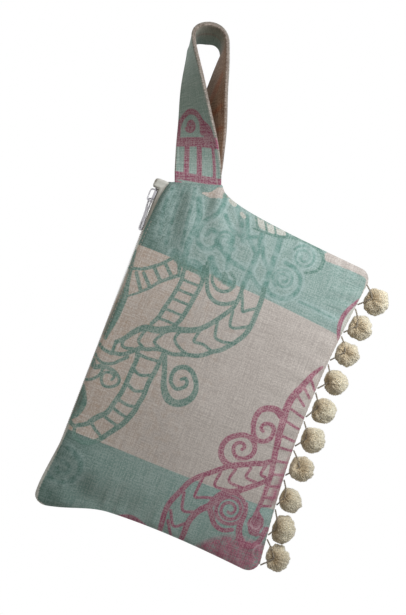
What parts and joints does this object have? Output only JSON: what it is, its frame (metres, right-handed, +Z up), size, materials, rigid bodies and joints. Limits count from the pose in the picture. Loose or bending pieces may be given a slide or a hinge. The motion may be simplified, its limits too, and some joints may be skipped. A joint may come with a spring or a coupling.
{
  "type": "clutch bag",
  "caption": "Flat zipped clutch bag of patterned cloth with a looped wrist strap at one end and a ball fringe of pom-poms along its lower edge.",
  "frame": {"origin": "inside of the crown of the strap loop, where a hook or a wrist carries the bag", "axes": "+X to the right across the bag, seen from its front, +Y from its front to its back, +Z up as it hangs"},
  "size_m": [0.2938, 0.039, 0.4484],
  "materials": {
    "outer_cloth": "patterned jacquard weave",
    "lining_cloth": "plain weave",
    "zip_tape": "woven tape",
    "zip_teeth": "satin nylon coil",
    "nickel": "polished nickel plate",
    "yarn": "cut yarn",
    "thread": "twisted thread"
  },
  "bodies": {
    "strap": {"wrist_strap": "outer_cloth"},
    "bag_body": {"back_panel": "outer_cloth", "back_lining": "lining_cloth", "zip_tape_back": "zip_tape", "zip_teeth_back": "zip_teeth", "zip_top_stop_back": "nickel", "zip_end_stop": "nickel", "zip_end_tab_upper": "zip_tape", "zip_end_tab_lower": "zip_tape", "fringe_header": "zip_tape", "strap_sewn_end": "outer_cloth"},
    "front_half": {"front_panel": "outer_cloth", "front_lining": "lining_cloth", "zip_tape_front": "zip_tape", "zip_teeth_front": "zip_teeth", "zip_top_stop_front": "nickel"},
    "zip_slider": {"zip_slider": "nickel"},
    "zip_pull": {"zip_pull_tab": "nickel"},
    "pompom_01": {"pompom_01": "yarn", "pompom_thread_01": "thread"},
    "pompom_02": {"pompom_02": "yarn", "pompom_thread_02": "thread"},
    "pompom_03": {"pompom_03": "yarn", "pompom_thread_03": "thread"},
    "pompom_04": {"pompom_04": "yarn", "pompom_thread_04": "thread"},
    "pompom_05": {"pompom_05": "yarn", "pompom_thread_05": "thread"},
    "pompom_06": {"pompom_06": "yarn", "pompom_thread_06": "thread"},
    "pompom_07": {"pompom_07": "yarn", "pompom_thread_07": "thread"},
    "pompom_08": {"pompom_08": "yarn", "pompom_thread_08": "thread"},
    "pompom_09": {"pompom_09": "yarn", "pompom_thread_09": "thread"},
    "pompom_10": {"pompom_10": "yarn", "pompom_thread_10": "thread"}
  },
  "joints": [
    {"name": "strap_swing", "type": "hinge", "parent": "strap", "child": "bag_body", "pos_m": [-0.0083, 0, -0.123], "axis": [0.9979, 0, -0.0646], "range_deg": [-80, 80], "deforming": ["strap_sewn_end"]},
    {"name": "zip_slide", "type": "slide", "parent": "bag_body", "child": "zip_slider", "axis": [-0.3584, 0, -0.9336], "range_m": [0, 0.25], "deforming": ["zip_teeth_front", "zip_teeth_back"]},
    {"name": "mouth_open", "type": "hinge", "parent": "bag_body", "child": "front_half", "pos_m": [0.0881, 0, -0.32285], "axis": [0.3584, 0, 0.9336], "range_deg": [0, 14]},
    {"name": "pull_flip", "type": "hinge", "parent": "zip_slider", "child": "zip_pull", "pos_m": [-0.04774, 0, -0.13526], "axis": [0, 1, 0], "range_deg": [0, 150]},
    {"name": "pompom_swing_01", "type": "hinge", "parent": "bag_body", "child": "pompom_01", "pos_m": [0.12953, 0, -0.21391], "axis": [-0.4622, 0, -0.8868], "range_deg": [-40, 40]},
    {"name": "pompom_swing_02", "type": "hinge", "parent": "bag_body", "child": "pompom_02", "pos_m": [0.11776, 0, -0.23681], "axis": [-0.4515, 0, -0.8922], "range_deg": [-40, 40]},
    {"name": "pompom_swing_03", "type": "hinge", "parent": "bag_body", "child": "pompom_03", "pos_m": [0.10639, 0, -0.25987], "axis": [-0.4326, 0, -0.9016], "range_deg": [-40, 40]},
    {"name": "pompom_swing_04", "type": "hinge", "parent": "bag_body", "child": "pompom_04", "pos_m": [0.09562, 0, -0.28315], "axis": [-0.4068, 0, -0.9135], "range_deg": [-40, 40]},
    {"name": "pompom_swing_05", "type": "hinge", "parent": "bag_body", "child": "pompom_05", "pos_m": [0.08558, 0, -0.30672], "axis": [-0.3763, 0, -0.9265], "range_deg": [-40, 40]},
    {"name": "pompom_swing_06", "type": "hinge", "parent": "bag_body", "child": "pompom_06", "pos_m": [0.07636, 0, -0.33061], "axis": [-0.3437, 0, -0.9391], "range_deg": [-40, 40]},
    {"name": "pompom_swing_07", "type": "hinge", "parent": "bag_body", "child": "pompom_07", "pos_m": [0.06797, 0, -0.3548], "axis": [-0.3121, 0, -0.9501], "range_deg": [-40, 40]},
    {"name": "pompom_swing_08", "type": "hinge", "parent": "bag_body", "child": "pompom_08", "pos_m": [0.06032, 0, -0.37929], "axis": [-0.2844, 0, -0.9587], "range_deg": [-40, 40]},
    {"name": "pompom_swing_09", "type": "hinge", "parent": "bag_body", "child": "pompom_09", "pos_m": [0.05329, 0, -0.40401], "axis": [-0.2632, 0, -0.9647], "range_deg": [-40, 40]},
    {"name": "pompom_swing_10", "type": "hinge", "parent": "bag_body", "child": "pompom_10", "pos_m": [0.04668, 0, -0.4289], "axis": [-0.2506, 0, -0.9681], "range_deg": [-40, 40]}
  ],
  "couplings": [
    {"joint": "mouth_open", "follows": "zip_slide", "rad_per_m": 0.97}
  ]
}
